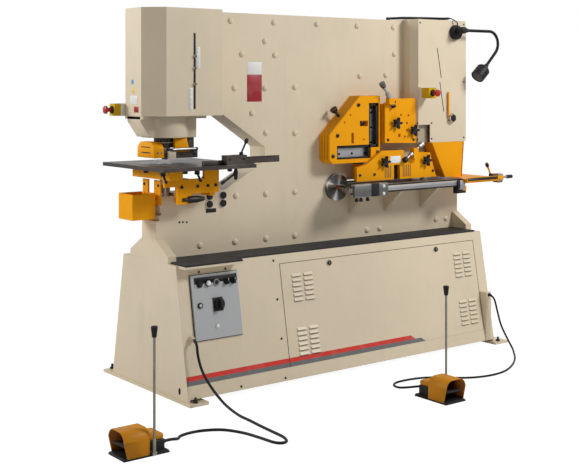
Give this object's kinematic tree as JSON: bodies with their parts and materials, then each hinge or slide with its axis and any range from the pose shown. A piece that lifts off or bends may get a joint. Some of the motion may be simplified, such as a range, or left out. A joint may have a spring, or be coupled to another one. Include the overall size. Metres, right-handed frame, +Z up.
{
  "type": "ironworker",
  "caption": "Hydraulic ironworker: punch throat, angle, bar and flat shears and a notcher on a plate body over a cabinet, with foot pedals and a lamp.",
  "frame": {"origin": "middle of the four floor anchor holes, at floor level", "axes": "+X from the punch end to the notching end, +Y from the front to the back, +Z up"},
  "size_m": [3.287, 1.679, 2.072],
  "materials": {
    "cream_paint": "satin light beige paint",
    "yellow_paint": "gloss yellow paint",
    "grey_paint": "satin light grey paint",
    "dark_steel": "blackened steel",
    "bright_steel": "ground steel",
    "chrome_steel": "turned and chromed",
    "black_plastic": "matte black",
    "red_plastic": "gloss red",
    "black_rubber": "matte black rubber"
  },
  "bodies": {
    "machine": {"base_cabinet": "cream_paint", "tray_mat": "black_rubber", "frame_front_plate": "cream_paint", "frame_rear_plate": "cream_paint", "tie_bolts": "cream_paint", "punch_casing": "cream_paint", "punch_cylinder": "cream_paint", "stripper_bracket": "dark_steel", "bolster": "cream_paint", "die": "bright_steel", "punch_table": "dark_steel", "table_bracket": "yellow_paint", "slug_chute": "yellow_paint", "slug_box": "yellow_paint", "estop_housings": "yellow_paint", "shear_cover": "cream_paint", "pivot_pin": "chrome_steel", "shear_cylinder": "cream_paint", "angle_shear_guard": "yellow_paint", "shear_blades": "bright_steel", "bar_shear_guard": "yellow_paint", "flat_shear_guard": "yellow_paint", "shear_bench": "cream_paint", "notch_table": "yellow_paint", "lamp_base": "black_plastic", "lamp_cord": "black_rubber", "pedal_left": "yellow_paint", "pedal_right": "yellow_paint", "cord_left": "black_rubber", "cord_right": "black_rubber", "power_pack": "dark_steel"},
    "service_door": {"service_door": "cream_paint"},
    "control_door": {"control_door": "grey_paint"},
    "main_switch": {"main_switch": "black_plastic"},
    "start_button": {"start_button": "black_plastic"},
    "stop_button": {"stop_button": "black_plastic"},
    "mode_selector": {"mode_selector": "black_plastic"},
    "punch_ram": {"punch_ram": "dark_steel", "punch_tool": "bright_steel"},
    "stripper_hood": {"stripper_hood": "yellow_paint"},
    "table_lever_left": {"table_lever_left": "black_plastic"},
    "table_lever_right": {"table_lever_right": "black_plastic"},
    "ruler_bar": {"ruler_bar": "bright_steel"},
    "ruler_lever": {"ruler_lever": "black_plastic"},
    "estop_left_button": {"estop_left_button": "red_plastic"},
    "estop_right_button": {"estop_right_button": "red_plastic"},
    "shear_beam": {"shear_beam": "cream_paint"},
    "shear_rod": {"shear_rod": "bright_steel"},
    "angle_spindle": {"angle_spindle": "bright_steel"},
    "flat_spindle": {"flat_spindle": "bright_steel"},
    "star_knob_1": {"star_knob_1": "black_plastic"},
    "star_knob_2": {"star_knob_2": "black_plastic"},
    "star_knob_3": {"star_knob_3": "black_plastic"},
    "star_knob_4": {"star_knob_4": "black_plastic"},
    "shear_fence": {"shear_fence": "bright_steel"},
    "notching_guard": {"notching_guard": "yellow_paint"},
    "notch_stop": {"notch_stop": "black_plastic"},
    "lamp_head": {"lamp_head": "black_plastic"},
    "treadle_left": {"treadle_left": "black_plastic"},
    "treadle_right": {"treadle_right": "black_plastic"}
  },
  "joints": [
    {"name": "service_door_hinge", "type": "hinge", "parent": "machine", "child": "service_door", "pos_m": [0.268, -0.41095, 0.09549], "axis": [1, 0, 0], "range_deg": [0, 30]},
    {"name": "control_door_hinge", "type": "hinge", "parent": "machine", "child": "control_door", "pos_m": [-0.798, -0.34321, 0.47652], "axis": [0, 0.1758, 0.9844], "range_deg": [0, 88]},
    {"name": "main_switch_turn", "type": "hinge", "parent": "control_door", "child": "main_switch", "pos_m": [-0.937, -0.35692, 0.48506], "axis": [0, 0.9844, -0.1758], "range_deg": [0, 90]},
    {"name": "start_button_press", "type": "slide", "parent": "control_door", "child": "start_button", "axis": [0, 0.9844, -0.1758], "range_m": [0, 0.004], "stiffness_N_per_m": 300, "springref_m": -0.002},
    {"name": "stop_button_press", "type": "slide", "parent": "control_door", "child": "stop_button", "axis": [0, 0.9844, -0.1758], "range_m": [0, 0.004], "stiffness_N_per_m": 300, "springref_m": -0.002},
    {"name": "mode_selector_turn", "type": "hinge", "parent": "control_door", "child": "mode_selector", "pos_m": [-0.876, -0.3359, 0.59711], "axis": [0, 0.9844, -0.1758], "range_deg": [-45, 45]},
    {"name": "punch_ram_stroke", "type": "slide", "parent": "machine", "child": "punch_ram", "axis": [0, 0, -1], "range_m": [0, 0.05]},
    {"name": "stripper_hood_lift", "type": "slide", "parent": "machine", "child": "stripper_hood", "axis": [0, 0, 1], "range_m": [0, 0.02]},
    {"name": "table_lever_left_turn", "type": "hinge", "parent": "machine", "child": "table_lever_left", "pos_m": [-1.232, -0.277, 1.19], "axis": [0, 0, 1], "range_deg": [0, 60]},
    {"name": "table_lever_right_turn", "type": "hinge", "parent": "machine", "child": "table_lever_right", "pos_m": [-1.03, -0.289, 1.19], "axis": [0, 0, 1], "range_deg": [0, 60]},
    {"name": "ruler_bar_slide", "type": "slide", "parent": "machine", "child": "ruler_bar", "axis": [1, 0, 0], "range_m": [-0.15, 0.06]},
    {"name": "ruler_lever_turn", "type": "hinge", "parent": "machine", "child": "ruler_lever", "pos_m": [-0.77, -0.323, 1.27], "axis": [0, 0, 1], "range_deg": [-60, 60]},
    {"name": "estop_left_press", "type": "slide", "parent": "machine", "child": "estop_left_button", "axis": [1, 0, 0], "range_m": [0, 0.006], "stiffness_N_per_m": 600, "springref_m": -0.003},
    {"name": "estop_right_press", "type": "slide", "parent": "machine", "child": "estop_right_button", "axis": [0, 1, 0], "range_m": [0, 0.006], "stiffness_N_per_m": 600, "springref_m": -0.003},
    {"name": "shear_beam_swing", "type": "hinge", "parent": "machine", "child": "shear_beam", "pos_m": [0.078, -0.027, 1.027], "axis": [0, 1, 0], "range_deg": [0, 4]},
    {"name": "shear_rod_stroke", "type": "slide", "parent": "machine", "child": "shear_rod", "axis": [0, 0, -1], "range_m": [0, 0.06]},
    {"name": "angle_spindle_travel", "type": "slide", "parent": "machine", "child": "angle_spindle", "axis": [0.5722, 0, -0.8201], "range_m": [0, 0.03]},
    {"name": "flat_spindle_travel", "type": "slide", "parent": "machine", "child": "flat_spindle", "axis": [0.8387, 0, 0.5446], "range_m": [0, 0.03]},
    {"name": "star_knob_1_turn", "type": "hinge", "parent": "machine", "child": "star_knob_1", "pos_m": [0.456, -0.2198, 1.406], "axis": [0, -1, 0], "continuous": true},
    {"name": "star_knob_2_turn", "type": "hinge", "parent": "machine", "child": "star_knob_2", "pos_m": [0.602, -0.2198, 1.359], "axis": [0, -1, 0], "continuous": true},
    {"name": "star_knob_3_turn", "type": "hinge", "parent": "machine", "child": "star_knob_3", "pos_m": [0.358, -0.2198, 1.173], "axis": [0, -1, 0], "continuous": true},
    {"name": "star_knob_4_turn", "type": "hinge", "parent": "machine", "child": "star_knob_4", "pos_m": [0.711, -0.2198, 1.168], "axis": [0, -1, 0], "continuous": true},
    {"name": "shear_fence_slide", "type": "slide", "parent": "machine", "child": "shear_fence", "axis": [1, 0, 0], "range_m": [0, 0.6]},
    {"name": "notching_guard_lift", "type": "hinge", "parent": "machine", "child": "notching_guard", "pos_m": [0.928, -0.207, 1.2757], "axis": [-1, 0, 0], "range_deg": [0, 60]},
    {"name": "notch_stop_slide", "type": "slide", "parent": "machine", "child": "notch_stop", "axis": [1, 0, 0], "range_m": [0, 0.03]},
    {"name": "lamp_head_tilt", "type": "hinge", "parent": "machine", "child": "lamp_head", "pos_m": [1.21313, -0.275, 1.76799], "axis": [0, 1, 0], "range_deg": [-40, 40]},
    {"name": "treadle_left_press", "type": "hinge", "parent": "machine", "child": "treadle_left", "pos_m": [-1.737, -0.9055, 0.044], "axis": [0, -1, 0], "range_deg": [0, 8], "stiffness_Nm_per_rad": 5, "springref_deg": -11.46},
    {"name": "treadle_right_press", "type": "hinge", "parent": "machine", "child": "treadle_right", "pos_m": [-0.0475, -1.105, 0.044], "axis": [1, 0, 0], "range_deg": [0, 8], "stiffness_Nm_per_rad": 5, "springref_deg": -11.46}
  ],
  "couplings": [
    {"joint": "shear_rod_stroke", "follows": "shear_beam_swing", "m_per_rad": 0.76}
  ]
}
